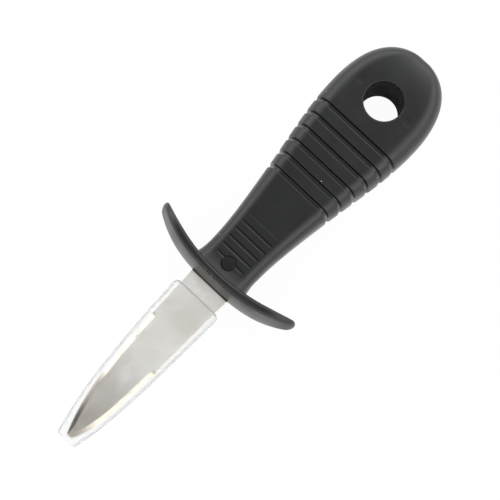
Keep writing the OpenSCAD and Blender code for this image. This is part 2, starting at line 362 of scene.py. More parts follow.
class PieceTree:
    """A Geometry Nodes tree with named inputs, run once on one piece."""

    def __init__(self, name: str, inputs: Mapping[str, str]) -> None:
        """Starts the tree.

        Args:
            name: the tree's name.
            inputs: the socket type of each size, by its name. Geometry and Material are added to them.
        """
        self.tree = bpy.data.node_groups.new(name, "GeometryNodeTree")
        self.tree.is_modifier = True
        self.tree.interface.new_socket("Geometry", in_out="OUTPUT", socket_type="NodeSocketGeometry")
        self.identifiers: dict[str, str] = {}
        for title, kind in {"Geometry": "Geometry", **inputs, "Material": "Material"}.items():
            item = self.tree.interface.new_socket(title, in_out="INPUT", socket_type="NodeSocket" + kind)
            self.identifiers[title] = item.identifier
        self.given = self.tree.nodes.new("NodeGroupInput").outputs

    def run(self, piece: Object, geometry: Node, sizes: Mapping[str, Any]) -> None:
        """Ends the tree in Realize Instances and Set Material, and turns a piece into its plain result.

        Args:
            piece: the piece that carries the tree for a moment.
            geometry: the node that makes the shape.
            sizes: a value for each named input but Geometry.
        """
        real = add_node(self.tree, "GeometryNodeRealizeInstances", {"Geometry": geometry})
        dressed = add_node(self.tree, "GeometryNodeSetMaterial", {
            "Geometry": real, "Material": self.given["Material"]})
        add_node(self.tree, "NodeGroupOutput", (dressed,))
        modifier = piece.modifiers.new(self.tree.name, "NODES")
        modifier.node_group = self.tree
        for name, value in sizes.items():
            modifier[self.identifiers[name]] = value
        apply_modifiers(piece)


@dataclass(frozen=True)
class HandleShape:
    """Sizes of the handle in millimetres and the curves that follow from them."""

    butt_x: float = HANDLE_LOW[0]
    front_x: float = 78.0
    widest_x: float = 4.0
    butt_w: float = 34.3
    rib_end_w: float = 25.2
    neck_w: float = 19.0
    butt_t: float = 20.6
    rib_end_t: float = 18.0
    neck_t: float = 13.6
    butt_fullness: float = 2.4
    butt_edge_fullness: float = 3.9
    taper_slope: float = -0.148
    thickness_slope: float = -0.1
    # Share of the half width in a shoulder along the grip, at the end of the butt and on the neck
    shoulder_share: float = 0.34
    butt_shoulder_share: float = 0.66
    neck_shoulder_share: float = 0.41
    neck_shoulder_run: float = 8.0
    shoulder_rise: float = 0.86
    rib_start_x: float = 12.2
    rib_run_out: float = 0.95
    # The grooves lie a little nearer to the guard than the solid's, and are narrower below their lips
    groove_x: float = 12.53
    groove_count: int = 6
    groove_pitch: float = 5.1
    groove_w: float = 1.6
    groove_depth: float = 1.1
    groove_lip: float = 0.13
    guard_t: float = 3.9
    guard_h: float = HANDLE_HIGH[2] - HANDLE_LOW[2]
    guard_span: float = HANDLE_HIGH[1] - HANDLE_LOW[1]
    guard_sweep: float = 7.1
    guard_sweep_fullness: float = 2.8
    guard_back_r: float = 65.0
    guard_crown: float = 1.6
    guard_crown_fullness: float = 1.4
    guard_tip_r: float = 1.6
    flat_rise: float = 1.2
    flat_rise_run: float = 4.5
    flat_rise_power: float = 1.6
    side_fillet_r: float = 20.0
    side_fillet_run: float = 6.5
    pin_x: float = (PIN_LOW[0] + PIN_HIGH[0]) / 2
    pin_r: float = (PIN_HIGH[0] - PIN_LOW[0]) / 2
    fit_gap: float = 0.05

    @property
    def rib_end_x(self) -> float:
        """Where the ribs end."""
        return self.rib_start_x + (self.groove_count - 1) * self.groove_pitch + self.rib_run_out

    @property
    def guard_back_x(self) -> float:
        """The guard's face towards the hand, on the middle line."""
        return self.front_x - self.guard_t

    @property
    def neck_x(self) -> float:
        """Where the neck starts to widen towards the guard."""
        return self.guard_back_x - self.side_fillet_run

    @property
    def flat_rise_x(self) -> float:
        """Where the flats start to rise towards the guard."""
        return self.guard_back_x - self.flat_rise_run

    def profile(self, x: np.ndarray, heights: tuple[float, float, float], slope: float,
                fullness: float) -> np.ndarray:
        """Joins three half sizes into one profile.

        Args:
            x: places along the handle.
            heights: half size at the widest place, at the last rib and at the neck.
            slope: slope where the ribs end.
            fullness: fullness of the butt.

        Returns:
            The half size at each place.
        """
        widest, rib_end, neck = heights
        butt = widest * rounded(clamp01((self.widest_x - x) / (self.widest_x - self.butt_x)), fullness)
        ribbed = flow(x, (self.widest_x, self.rib_end_x), (widest, rib_end), (0, slope))
        waist = flow(x, (self.rib_end_x, self.neck_x), (rib_end, neck), (slope, 0))
        return np.where(x < self.widest_x, butt, np.where(x < self.rib_end_x, ribbed, waist))

    def shoulder(self, x: np.ndarray) -> np.ndarray:
        """Share of the half width in a shoulder, which grows towards the butt's end and on the neck.

        Args:
            x: places along the handle.

        Returns:
            The share at each place.
        """
        u = clamp01((self.widest_x - x) / (self.widest_x - self.butt_x))
        w = clamp01((x - self.rib_start_x) / (self.rib_end_x + self.neck_shoulder_run - self.rib_start_x))
        return (self.shoulder_share + (self.butt_shoulder_share - self.shoulder_share) * u ** 3
                + (self.neck_shoulder_share - self.shoulder_share) * smooth(w))

    def guard_front(self, y: float) -> float:
        """X of the guard's face towards the blade, on the parting plane."""
        return self.front_x - self.guard_sweep * (abs(y) / (self.guard_span / 2)) ** self.guard_sweep_fullness

    def guard_back(self, y: float) -> float:
        """X of the guard's face towards the hand."""
        return self.guard_back_x - self.guard_back_r + math.sqrt(self.guard_back_r ** 2 - y * y)

    def half_w(self, x: np.ndarray) -> np.ndarray:
        """Half width of the handle without its grooves.

        Args:
            x: places along the handle.

        Returns:
            The half width at each place.
        """
        heights = (self.butt_w / 2, self.rib_end_w / 2, self.neck_w / 2)
        return (self.profile(x, heights, self.taper_slope, self.butt_fullness)
                + fillet(x - self.neck_x, self.side_fillet_r))

    def half_t(self, x: np.ndarray) -> np.ndarray:
        """Half thickness of the handle without its grooves.

        Args:
            x: places along the handle.

        Returns:
            The half thickness at each place.
        """
        heights = (self.butt_t / 2, self.rib_end_t / 2, self.neck_t / 2)
        rise = self.flat_rise * clamp01((x - self.flat_rise_x) / self.flat_rise_run) ** self.flat_rise_power
        return self.profile(x, heights, self.thickness_slope, self.butt_edge_fullness) + rise

    def skin(self, x: float) -> float:
        """Height of the flats over the parting plane at one place."""
        return float(self.half_t(np.array([x]))[0])


@dataclass(frozen=True)
class BladeShape:
    """Sizes of the blade in millimetres and its two outlines."""

    root_x: float = HandleShape.front_x
    tang_x: float = BLADE_LOW[0]
    tip_x: float = BLADE_HIGH[0]
    width: float = BLADE_HIGH[1] - BLADE_LOW[1]
    thickness: float = BLADE_HIGH[2] - BLADE_LOW[2]
    tang_w: float = 10.0
    shoulder_len: float = 3.5
    tip_w: float = 1.9
    tip_offset: float = 1.1
    taper: float = 0.26
    back_fullness: float = 8.0
    edge_fullness: float = 4.5
    back_grind: float = 31.4
    edge_grind: float = 18.2
    grind_run_in: float = 0.5
    bevel_w: float = 1.4
    edge_t: float = 0.7

    @property
    def length(self) -> float:
        """Length in front of the guard."""
        return self.tip_x - self.root_x

    @property
    def shoulder_x(self) -> float:
        """The shoulders' face towards the tang."""
        return self.root_x - self.shoulder_len

    def tip_half(self, side: BladeSide) -> float:
        """Distance of one corner of the blunt tip from the middle line."""
        return self.tip_w / 2 + side.value * self.tip_offset

    def outline(self, x: float, side: BladeSide) -> float:
        """Outline of one side of the blade.

        Args:
            x: place along the blade.
            side: the side along the back or the edge.

        Returns:
            The distance from the middle line.
        """
        w = min(1.0, max(0.0, (x - self.root_x) / self.length))
        fullness = self.back_fullness if side is BladeSide.BACK else self.edge_fullness
        lost = self.taper * w + (1 - self.taper) * w ** fullness
        tip = self.tip_half(side)
        return tip + (self.width / 2 - tip) * (1 - lost)

    def grind_x(self, side: BladeSide) -> float:
        """Where the grind of one side starts."""
        return self.root_x + (self.back_grind if side is BladeSide.BACK else self.edge_grind)

    def bevel(self, x: float, side: BladeSide) -> float:
        """Width of the ground bevel on one side, nothing before the grind runs in."""
        return self.bevel_w * min(1.0, max(0.0, (x - self.grind_x(side)) / self.grind_run_in))


@dataclass(frozen=True)
class MouldedPolypropylene:
    """Black polypropylene from a finely eroded mould: a satin skin, near black, with a few dust specks."""

    name: str = "moulded_black_polypropylene"
    deep: str = "#050606"
    worn: str = "#090a0b"
    dust: str = "#c9c8c2"
    ior: float = 1.49
    mirror: float = 0.5
    roughness: float = 0.34
    roughness_spread: float = 0.07
    cloud_mm: float = 10.0
    cloud_range: tuple[float, float] = (0.35, 0.65)
    grain_mm: float = 0.22
    grain_height_mm: float = 0.02
    grain_strength: float = 0.12
    dust_mm: float = 5.5
    dust_share: float = 0.28
    speck_mm: float = 0.19

    def build(self) -> Material:
        """Makes the material.

        Returns:
            The finished material.
        """
        material, tree, shader, place = start_material(self.name)
        # Broad, faint clouds where hands have polished the skin
        cloud = add_node(tree, "ShaderNodeTexNoise", {
            "Vector": place, "Scale": 1 / (self.cloud_mm * MM), "Detail": 3.0, "Roughness": 0.55})
        skin = add_node(tree, "ShaderNodeMix", (
            cloud, linear(self.deep), linear(self.worn)), data_type="RGBA")
        satin = add_node(tree, "ShaderNodeMapRange", (
            cloud, *self.cloud_range, self.roughness - self.roughness_spread,
            self.roughness + self.roughness_spread))
        # Dust: one small speck in a few of the cells
        cells = add_node(tree, "ShaderNodeTexVoronoi", {"Vector": place, "Scale": 1 / (self.dust_mm * MM)})
        speck = add_node(tree, "ShaderNodeMath", (cells, self.speck_mm / self.dust_mm), operation="LESS_THAN")
        lot = add_node(tree, "ShaderNodeSeparateColor", (cells.outputs["Color"],))
        drawn = add_node(tree, "ShaderNodeMath", (lot, 1 - self.dust_share), operation="GREATER_THAN")
        dusty = add_node(tree, "ShaderNodeMath", (speck, drawn), operation="MULTIPLY")
        colour = add_node(tree, "ShaderNodeMix", (dusty, skin, linear(self.dust)), data_type="RGBA")
        # The mould's fine erosion
        grain = add_node(tree, "ShaderNodeTexNoise", {
            "Vector": place, "Scale": 1 / (self.grain_mm * MM), "Detail": 2.0})
        bump = add_node(tree, "ShaderNodeBump", {
            "Height": grain, "Strength": self.grain_strength, "Distance": self.grain_height_mm * MM})
        feed(shader, {"Base Color": colour, "Roughness": satin, "Normal": bump, "IOR": self.ior,
                      "Specular IOR Level": self.mirror})
        return material


@dataclass(frozen=True)
class GroundStainless:
    """Stainless steel sheet, satin ground: fine lengthwise polish lines, faint cloudy stains, painted shade at
    the tip.
    """

    blade: BladeShape = BladeShape()
    name: str = "satin_ground_stainless_steel"
    bright: str = "#fffefa"
    stained: str = "#dcd5cc"
    tip_shade_and_grime: str = "#7d7468"
    burr: str = "#a19a8e"
    root_shade: str = "#62564c"
    roughness: float = 0.33
    roughness_range: tuple[float, float] = (-0.06, 0.08)
    line_mm: float = 0.35
    line_stretch: float = 50.0
    line_height_mm: float = 0.01
    line_strength: float = 0.08
    stain_mm: float = 11.0
    stain_range: tuple[float, float] = (0.25, 0.75)
    # X between which painted shade darkens the flats towards the tip
    tip_shade_mm: tuple[float, float] = (100.0, 141.0)
    tip_shade_share: float = 0.6
    # Z of the normal that tells a bevel from a flat, and X between which painted shade darkens the bevels
    bevel_lean: tuple[float, float] = (0.93, 0.97)
    bevel_mm: tuple[float, float] = (96.0, 141.0)
    bevel_tones: tuple[tuple[float, str], ...] = ((0.5, "#efe9d8"), (0.58, "#aaa398"), (0.74, "#948d82"),
                                                  (0.84, "#4a453f"))
    # The back's bevel gets only this share of that painted shade
    back_tone_share: float = 0.62
    back_fade_mm: float = 0.5
    grime_mm: float = 1.1
    grime_range: tuple[float, float] = (0.58, 0.68)
    grime_share: float = 0.75
    # A burr's half length, its place before the grind, and how far out at the side it starts
    burr_mm: float = 0.22
    burr_before_mm: float = 0.2
    burr_out_mm: float = 5.7
    # Where the painted shade at the blade's root starts, and how far it fades
    root_shade_mm: float = 0.15
    root_shade_fade_mm: float = 0.25

    def build(self) -> Material:
        """Makes the material.

        Returns:
            The finished material.
        """
        material, tree, shader, place = start_material(self.name)
        stain = add_node(tree, "ShaderNodeTexNoise", {
            "Vector": place, "Scale": 1 / (self.stain_mm * MM), "Detail": 4.0, "Roughness": 0.6,
            "Distortion": 0.6})
        low, high = self.roughness_range
        satin = add_node(tree, "ShaderNodeMapRange", (
            stain, 0.0, 1.0, self.roughness + low, self.roughness + high))
        along, across, _ = add_node(tree, "ShaderNodeSeparateXYZ", (place,)).outputs
        flat = self.flats(tree, stain, along)
        bevelled = self.bevels(tree, place, along, across, flat)
        burred = self.burrs(tree, along, across, bevelled)
        # Painted shade: a dark rust-brown band on the blade in the corner against the guard, where shade falls
        corner = self.blade.root_x + self.root_shade_mm
        root_shaded = add_node(tree, "ShaderNodeMapRange", (
            along, corner * MM, (corner + self.root_shade_fade_mm) * MM, 1.0, 0.0))
        colour = add_node(tree, "ShaderNodeMix", (root_shaded, burred, linear(self.root_shade)), data_type="RGBA")
        # Polish lines run along the blade, so the pattern is stretched along X
        stretch = add_node(tree, "ShaderNodeMapping", {
            "Vector": place, "Scale": (1 / self.line_stretch, 1.0, 1.0)})
        lines = add_node(tree, "ShaderNodeTexNoise", {
            "Vector": stretch, "Scale": 1 / (self.line_mm * MM), "Detail": 2.0})
        bump = add_node(tree, "ShaderNodeBump", {
            "Height": lines, "Strength": self.line_strength, "Distance": self.line_height_mm * MM})
        feed(shader, {"Base Color": colour, "Metallic": 1.0, "Roughness": satin, "Normal": bump})
        return material

    def flats(self, tree: NodeTree, stain: Node, along: NodeSocket) -> Node:
        """Colours the flats: cloudy stains, and painted shade that darkens the steel towards the tip.

        Args:
            tree: the material's tree.
            stain: the noise that the stains follow.
            along: the place along the blade.

        Returns:
            The node that gives the colour.
        """
        clouds = add_node(tree, "ShaderNodeMapRange", (stain, *self.stain_range))
        tone = add_node(tree, "ShaderNodeMix", (
            clouds, linear(self.bright), linear(self.stained)), data_type="RGBA")
        # Painted shade: the flats darken towards the tip
        to_tip = add_node(tree, "ShaderNodeMapRange", (
            along, self.tip_shade_mm[0] * MM, self.tip_shade_mm[1] * MM, 0.0, self.tip_shade_share),
            interpolation_type="SMOOTHSTEP")
        return add_node(tree, "ShaderNodeMix", (to_tip, tone, linear(self.tip_shade_and_grime)), data_type="RGBA")

    def bevels(self, tree: NodeTree, place: NodeSocket, along: NodeSocket, across: NodeSocket,
               flat: Node) -> Node:
        """Colours the ground bevels: cream-white first, painted darker towards the tip as shade, with small
        dashes of grime.

        Args:
            tree: the material's tree.
            place: the coordinates of the blade's own object.
            along: the place along the blade.
            across: the place across the blade.
            flat: the colour of the flats.

        Returns:
            The node that gives the colour of flats and bevels.
        """
        facing = add_node(tree, "ShaderNodeTexCoord").outputs["Normal"]
        up = add_node(tree, "ShaderNodeSeparateXYZ", (facing,)).outputs["Z"]
        level = add_node(tree, "ShaderNodeMath", (up,), operation="ABSOLUTE")
        ground = add_node(tree, "ShaderNodeMapRange", (level, *self.bevel_lean, 1.0, 0.0))
        # Painted shade: the bevels darken towards the tip, the edge's side most
        to_tip = add_node(tree, "ShaderNodeMapRange", (along, self.bevel_mm[0] * MM, self.bevel_mm[1] * MM))
        on_back = add_node(tree, "ShaderNodeMapRange", (
            across, 0.0, self.back_fade_mm * MM, 1.0, self.back_tone_share))
        bevel_tip_shade = add_node(tree, "ShaderNodeMath", (to_tip, on_back), operation="MULTIPLY")
        ramp = add_node(tree, "ShaderNodeValToRGB", {"Fac": bevel_tip_shade})
        stops = ramp.color_ramp.elements
        stops.remove(stops[1])
        for at, code in self.bevel_tones:
            stops.new(at).color = linear(code)
        stops.remove(stops[0])
        grime = add_node(tree, "ShaderNodeTexNoise", {
            "Vector": place, "Scale": 1 / (self.grime_mm * MM), "Detail": 2.0})
        dashes = add_node(tree, "ShaderNodeMapRange", (grime, *self.grime_range, 0.0, self.grime_share))
        grimy = add_node(tree, "ShaderNodeMix", (dashes, ramp, linear(self.tip_shade_and_grime)), data_type="RGBA")
        return add_node(tree, "ShaderNodeMix", (ground, flat, grimy), data_type="RGBA")

    def burrs(self, tree: NodeTree, along: NodeSocket, across: NodeSocket, bevelled: Node) -> Node:
        """Colours a small burr where each grind starts, out at the side.

        Args:
            tree: the material's tree.
            along: the place along the blade.
            across: the place across the blade.
            bevelled: the colour of flats and bevels.

        Returns:
            The node that gives the colour with the burrs.
        """
        back_x, edge_x = (self.blade.grind_x(side) - self.burr_before_mm for side in BladeSide)
        out = add_node(tree, "ShaderNodeMath", (across,), operation="ABSOLUTE")
        outer = add_node(tree, "ShaderNodeMath", (out, self.burr_out_mm * MM), operation="GREATER_THAN")
        on_back = add_node(tree, "ShaderNodeMath", (across, 0.0), operation="GREATER_THAN")
        start = add_node(tree, "ShaderNodeMapRange", (on_back, 0.0, 1.0, edge_x * MM, back_x * MM))
        near = add_node(tree, "ShaderNodeMath", (along, start, self.burr_mm * MM), operation="COMPARE")
        marked = add_node(tree, "ShaderNodeMath", (near, outer), operation="MULTIPLY")
        return add_node(tree, "ShaderNodeMix", (marked, bevelled, linear(self.burr)), data_type="RGBA")


@dataclass(frozen=True)
class ClearVinyl:
    """Clear soft PVC, dip moulded: see-through, softly frosted and wavy, with painted grey shade edge on and
    at the mouth.
    """

    mouth_mm: float = SHEATH_LOW[0]
    name: str = "clear_dip_moulded_vinyl"
    tint: str = "#fdfefe"
    # Painted shade for the wall seen edge on, and for the mouth's lip
    edge_on_shade: str = "#76748c"
    lip_shade: str = "#8d8b95"
    ior: float = 1.5
    roughness: float = 0.5
    body: float = 0.42
    edge_on_from: float = 0.5
    # How far the lip's painted shade reaches past the mouth, and how strong it is
    lip_shade_mm: float = 0.5
    lip_shade_share: float = 0.8
    wave_mm: float = 7.0
    wave_height_mm: float = 0.15
    wave_strength: float = 0.05

    def build(self) -> Material:
        """Makes the material.

        Returns:
            The finished material.
        """
        material, tree, shader, place = start_material(self.name)
        # Painted shade: edge on, the wall turns a less clear dark grey-violet, for the dark its rim refracts
        facing = add_node(tree, "ShaderNodeLayerWeight", {"Blend": 0.5}).outputs["Facing"]
        edge_on = add_node(tree, "ShaderNodeMapRange", (facing, self.edge_on_from, 1.0))
        edge_shaded = add_node(tree, "ShaderNodeMix", (
            edge_on, linear(self.tint), linear(self.edge_on_shade)), data_type="RGBA")
        opacity = add_node(tree, "ShaderNodeMapRange", (edge_on, 0.0, 1.0, self.body, 1.0))
        # Painted shade: an opaque grey band along the mouth's rounded lip, for the dark line that it refracts
        along = add_node(tree, "ShaderNodeSeparateXYZ", (place,)).outputs["X"]
        lip_shaded = add_node(tree, "ShaderNodeMapRange", (
            along, self.mouth_mm * MM, (self.mouth_mm + self.lip_shade_mm) * MM, self.lip_shade_share, 0.0))
        colour = add_node(tree, "ShaderNodeMix", (lip_shaded, edge_shaded, linear(self.lip_shade)), data_type="RGBA")
        solid = add_node(tree, "ShaderNodeMath", (opacity, lip_shaded), operation="MAXIMUM")
        clear = add_node(tree, "ShaderNodeMath", (1.0, lip_shaded), operation="SUBTRACT")
        wave = add_node(tree, "ShaderNodeTexNoise", {
            "Vector": place, "Scale": 1 / (self.wave_mm * MM), "Detail": 2.0})
        bump = add_node(tree, "ShaderNodeBump", {
            "Height": wave, "Strength": self.wave_strength, "Distance": self.wave_height_mm * MM})
        feed(shader, {"Base Color": colour, "Alpha": solid, "Transmission Weight": clear, "Normal": bump,
                      "IOR": self.ior, "Roughness": self.roughness})
        return material


@dataclass(frozen=True)
class StudioPaper:
    """Matte white backdrop paper, all but plain white to the camera and, off the hanging hole, to mirrors."""

    name: str = "matte_white_backdrop_paper"
    tone: str = "#ffffff"
    own_white: float = 0.96
    hole_shade_mm: float = 7.0

    def build(self) -> Material:
        """Makes the material.

        Returns:
            The finished material.
        """
        material, tree, shader, place = start_material(self.name)
        tree.nodes.remove(shader)
        # Under the hanging hole the paper lies in the handle's own shadow, and mirrors see it so
        flat = add_node(tree, "ShaderNodeVectorMath", (place, (1.0, 1.0, 0.0)), operation="MULTIPLY")
        out = add_node(tree, "ShaderNodeVectorMath", (flat,), operation="LENGTH")
        shade_end = self.hole_shade_mm * MM
        away = add_node(tree, "ShaderNodeMapRange", (out, shade_end, 2 * shade_end))
        rays = add_node(tree, "ShaderNodeLightPath").outputs
        through = add_node(tree, "ShaderNodeMath", (
            rays["Is Camera Ray"], rays["Is Transmission Ray"]), operation="MAXIMUM")
        mirrored = add_node(tree, "ShaderNodeMath", (rays["Is Glossy Ray"], away), operation="MULTIPLY")
        seen = add_node(tree, "ShaderNodeMath", (through, mirrored), operation="MAXIMUM")
        share = add_node(tree, "ShaderNodeMath", (seen, self.own_white), operation="MULTIPLY")
        lit = add_node(tree, "ShaderNodeBsdfDiffuse", {"Color": linear(self.tone)})
        white = add_node(tree, "ShaderNodeEmission", {"Color": linear(self.tone)})
        mixed = add_node(tree, "ShaderNodeMixShader", (share, lit, white))
        feed(tree.nodes["Material Output"], {"Surface": mixed})
        return material


@dataclass
class Handle:
    """The one-piece moulding: butt, grooved grip, neck with its thumb rest, and crescent guard."""

    shape: HandleShape = HandleShape()
    blade: BladeShape = BladeShape()
    finish: MouldedPolypropylene = MouldedPolypropylene()
    crease: float = 18.0
    ring_step: float = 0.6
    # Degrees round the butt's end, and its rings
    butt_angles: tuple[float, float, int] = (1.5, 90.0, 46)
    # Rings round one groove, from, to and how many, and then where the plain steps end and start again, with
    # the floor, the wall's top and the lip: all in halves of the groove's width from its middle line
    groove_rings: tuple[tuple[float, float, int], ...] = ((-2.8, -1.7, 4), (-1.45, 1.45, 59), (1.7, 3.0, 4))
    groove_clear: tuple[float, float] = (3.1, 3.5)
    groove_wall: tuple[float, float] = (0.6, 0.95)
    lip_reach: tuple[float, float] = (0.9, 1.3)
    flare_rings: int = 22
    into_guard: float = 0.3
    hole_r: float = 6.35
    rim_r: float = 0.5
    mark_r: float = 1.6
    mark_y: float = 9.9
    # Past the mark's own radius, and over the flat
    mark_section: tuple[tuple[float, float], ...] = ((-0.12, -0.1), (0.0, -0.07), (0.08, 0.4))
    thumb_count: int = 6
    thumb_pitch: float = 3.0
    thumb_len: float = 13.1
    thumb_depth: float = 0.55
    # X and Z of the cutter's section from the skin, chamfered on its side towards the guard
    thumb_section: tuple[tuple[float, float], ...] = (
        (-0.66, 0.5), (-0.36, 0.07), (-0.315, -0.06), (-0.285, -0.44), (-0.21, -0.55), (0.135, -0.55),
        (0.24, -0.44), (0.3, -0.2), (0.7, 0.02), (0.85, 0.5))
    thumb_end_power: float = 0.12
    thumb_longest: float = 3.0
    thumb_shortening: float = 0.02
    thumb_fading: float = 0.6
    thumb_to_pin: float = 0.8
    ray_from: float = 30.0
    mouth_depth: float = 0.3
    mouth_flare: float = 0.4
    # Past the pin hole's own radius, and over the flat
    pin_mouth: tuple[tuple[float, float], ...] = ((0.0, -0.25), (0.03, -0.06), (0.1, 0.01), (0.2, 0.2),
                                                  (0.2, 2.0))
    cutter_reach: float = 1.0
    # Degrees of the sweep from tip to tip, and its rings
    guard_angles: tuple[float, float, int] = (-89.0, 89.0, 121)
    guard_edge_r: float = 1.2
    front_edge: tuple[float, float] = (1.1, 1.8)
    # The most that an edge takes of the arm's thickness, at the hand's side and in front, and of its height
    edge_most: tuple[float, float, float] = (0.31, 0.3, 0.4)

    def build(self) -> Object:
        """Builds the moulding and puts it in the frame.

        Returns:
            The finished piece.
        """
        material = self.finish.build()
        piece = self.body()
        self.grip_grooves(piece, material)
        thumb_rows = [self.thumb_row(piece, flat, material) for flat in Flat]
        cut(piece, self.guard(), "UNION")
        cut(piece, self.bore())
        for y in (-self.mark_y, self.mark_y):
            cut(piece, self.mould_mark(y))
        for row in thumb_rows:
            cut(piece, row)
        cut(piece, self.tang_slot())
        cut(piece, self.slot_mouth())
        cut(piece, self.pin_hole())
        shade(piece, self.crease)
        dress(piece, material, "knife", "handle")
        return piece

    def body(self) -> Object:
        """Skins the handle from the butt to inside the guard.

        Returns:
            The body without its grooves.
        """
        s = self.shape
        half = s.groove_w / 2
        shares = np.concatenate([np.linspace(*spread) for spread in self.groove_rings])
        middles = [s.groove_x + k * s.groove_pitch for k in range(s.groove_count)]
        before, after = (clear * half for clear in self.groove_clear)
        stations = np.concatenate([
            s.widest_x - (s.widest_x - s.butt_x) * np.cos(np.radians(np.linspace(*self.butt_angles))),
            np.arange(s.widest_x + self.ring_step, middles[0] - before, self.ring_step),
            *(middle + shares * half for middle in middles),
            np.arange(middles[-1] + after, s.flat_rise_x, self.ring_step),
            np.linspace(s.flat_rise_x, s.guard_back_x + self.into_guard * s.guard_t, self.flare_rings),
        ])
        rings = []
        for x, w, t, share in zip(stations, s.half_w(stations), s.half_t(stations), s.shoulder(stations)):
            ring = shoulder_ring(w, t, w * share, t * s.shoulder_rise, steps=18, flat_steps=12)
            rings.append(np.column_stack([np.full(len(ring), x), ring]))
        return loft("handle_moulding", rings, ((s.butt_x, 0, 0), None))

    def grip_grooves(self, piece: Object, material: Material) -> None:
        """Sinks the grooves round the grip, square to the skin.

        Args:
            piece: the body.
            material: the finish that the tree sets.
        """
        s = self.shape
        group = PieceTree("grip_grooves", {
            "Count": "Int", "Start": "Float", "Pitch": "Float", "Width": "Float", "Depth": "Float",
            "Lip": "Float"})
        tree, given = group.tree, group.given
        position = add_node(tree, "GeometryNodeInputPosition")
        x = add_node(tree, "ShaderNodeSeparateXYZ", (position,))
        along = add_node(tree, "ShaderNodeMath", (x, given["Start"]), operation="SUBTRACT")
        # The nearest groove's number, kept between the first and the last
        turns = add_node(tree, "ShaderNodeMath", (along, given["Pitch"]), operation="DIVIDE")
        turn = add_node(tree, "ShaderNodeMath", (turns,), operation="ROUND")
        last = add_node(tree, "ShaderNodeMath", (given["Count"], 1.0), operation="SUBTRACT")
        up_to = add_node(tree, "ShaderNodeMath", (turn, last), operation="MINIMUM")
        nearest = add_node(tree, "ShaderNodeMath", (0.0, up_to), operation="MAXIMUM")
        # The distance from its middle line, in halves of its width
        middle = add_node(tree, "ShaderNodeMath", (nearest, given["Pitch"]), operation="MULTIPLY")
        past = add_node(tree, "ShaderNodeMath", (along, middle), operation="SUBTRACT")
        off = add_node(tree, "ShaderNodeMath", (past,), operation="ABSOLUTE")
        half = add_node(tree, "ShaderNodeMath", (given["Width"], 0.5), operation="MULTIPLY")
        share = add_node(tree, "ShaderNodeMath", (off, half), operation="DIVIDE")
        wall = add_node(tree, "ShaderNodeMapRange", (
            share, *self.groove_wall, given["Depth"], 0.0), interpolation_type="SMOOTHSTEP")
        lip = add_node(tree, "ShaderNodeMapRange", (share, *self.lip_reach, given["Lip"], 0.0))
        sink = add_node(tree, "ShaderNodeMath", (wall, lip), operation="ADD")
        # Square to the skin, with nothing along X
        normal = add_node(tree, "GeometryNodeInputNormal")
        square = add_node(tree, "ShaderNodeVectorMath", (normal, (0.0, 1.0, 1.0)), operation="MULTIPLY")
        outward = add_node(tree, "ShaderNodeVectorMath", (square,), operation="NORMALIZE")
        inward = add_node(tree, "ShaderNodeMath", (sink, -1.0), operation="MULTIPLY")
        step = add_node(tree, "ShaderNodeVectorMath", (outward, inward), operation="SCALE")
        moved = add_node(tree, "GeometryNodeSetPosition", {"Geometry": given["Geometry"], "Offset": step})
        group.run(piece, moved, {
            "Count": s.groove_count, "Start": s.groove_x * MM, "Pitch": s.groove_pitch * MM,
            "Width": s.groove_w * MM, "Depth": (s.groove_depth - s.groove_lip) * MM, "Lip": s.groove_lip * MM,
            "Material": material})

    def thumb_cutter(self) -> Object:
        """Makes the cutter of one thumb groove, which grows shallow towards its ends.

        Returns:
            The cutter, with the skin at its own zero height.
        """
        top = self.thumb_section[0][1]
        rings = []
        for a in np.radians(np.linspace(-90, 90, 25))[1:-1]:
            y = self.thumb_len / 2 * math.sin(a)
            rise = self.thumb_depth * (1 - math.cos(a) ** self.thumb_end_power)
            rings.append([(x, y, z + rise * (z < top)) for x, z in self.thumb_section])
        return loft("thumb_cutter", rings)

    def thumb_row(self, body: Object, flat: Flat, material: Material) -> Object:
        """Repeats the thumb groove's cutter along one flat of the neck, each laid on the skin.

        Args:
            body: the piece that the cutters are laid on.
            flat: the flat that they belong to.
            material: the finish that the tree sets.

        Returns:
            The row of cutters as one mesh.
        """
        group = PieceTree("thumb_grooves", {
            "Count": "Int", "Start": "Vector", "Pitch": "Vector", "Down": "Vector", "Turn": "Rotation",
            "Longest": "Float", "Shortening": "Float", "Fading": "Float", "Body": "Object"})
        tree, given = group.tree, group.given
        line = add_node(tree, "GeometryNodeMeshLine", {
            "Count": given["Count"], "Start Location": given["Start"],
            "Offset": given["Pitch"]}, mode="OFFSET")
        target = add_node(tree, "GeometryNodeObjectInfo", {
            "Object": given["Body"]}, transform_space="RELATIVE")
        ray = add_node(tree, "GeometryNodeRaycast", {
            "Target Geometry": target.outputs["Geometry"], "Ray Direction": given["Down"],
            "Ray Length": 2 * self.ray_from * MM})
        landed = add_node(tree, "GeometryNodeSetPosition", {
            "Geometry": line, "Position": ray.outputs["Hit Position"]})
        # One groove is the longest, and those on both sides of it get shorter
        index = add_node(tree, "GeometryNodeInputIndex")
        steps = add_node(tree, "ShaderNodeMath", (index, given["Longest"]), operation="SUBTRACT")
        square = add_node(tree, "ShaderNodeMath", (steps, steps), operation="MULTIPLY")
        lost = add_node(tree, "ShaderNodeMath", (square, given["Shortening"]), operation="MULTIPLY")
        length = add_node(tree, "ShaderNodeMath", (1.0, lost), operation="SUBTRACT")
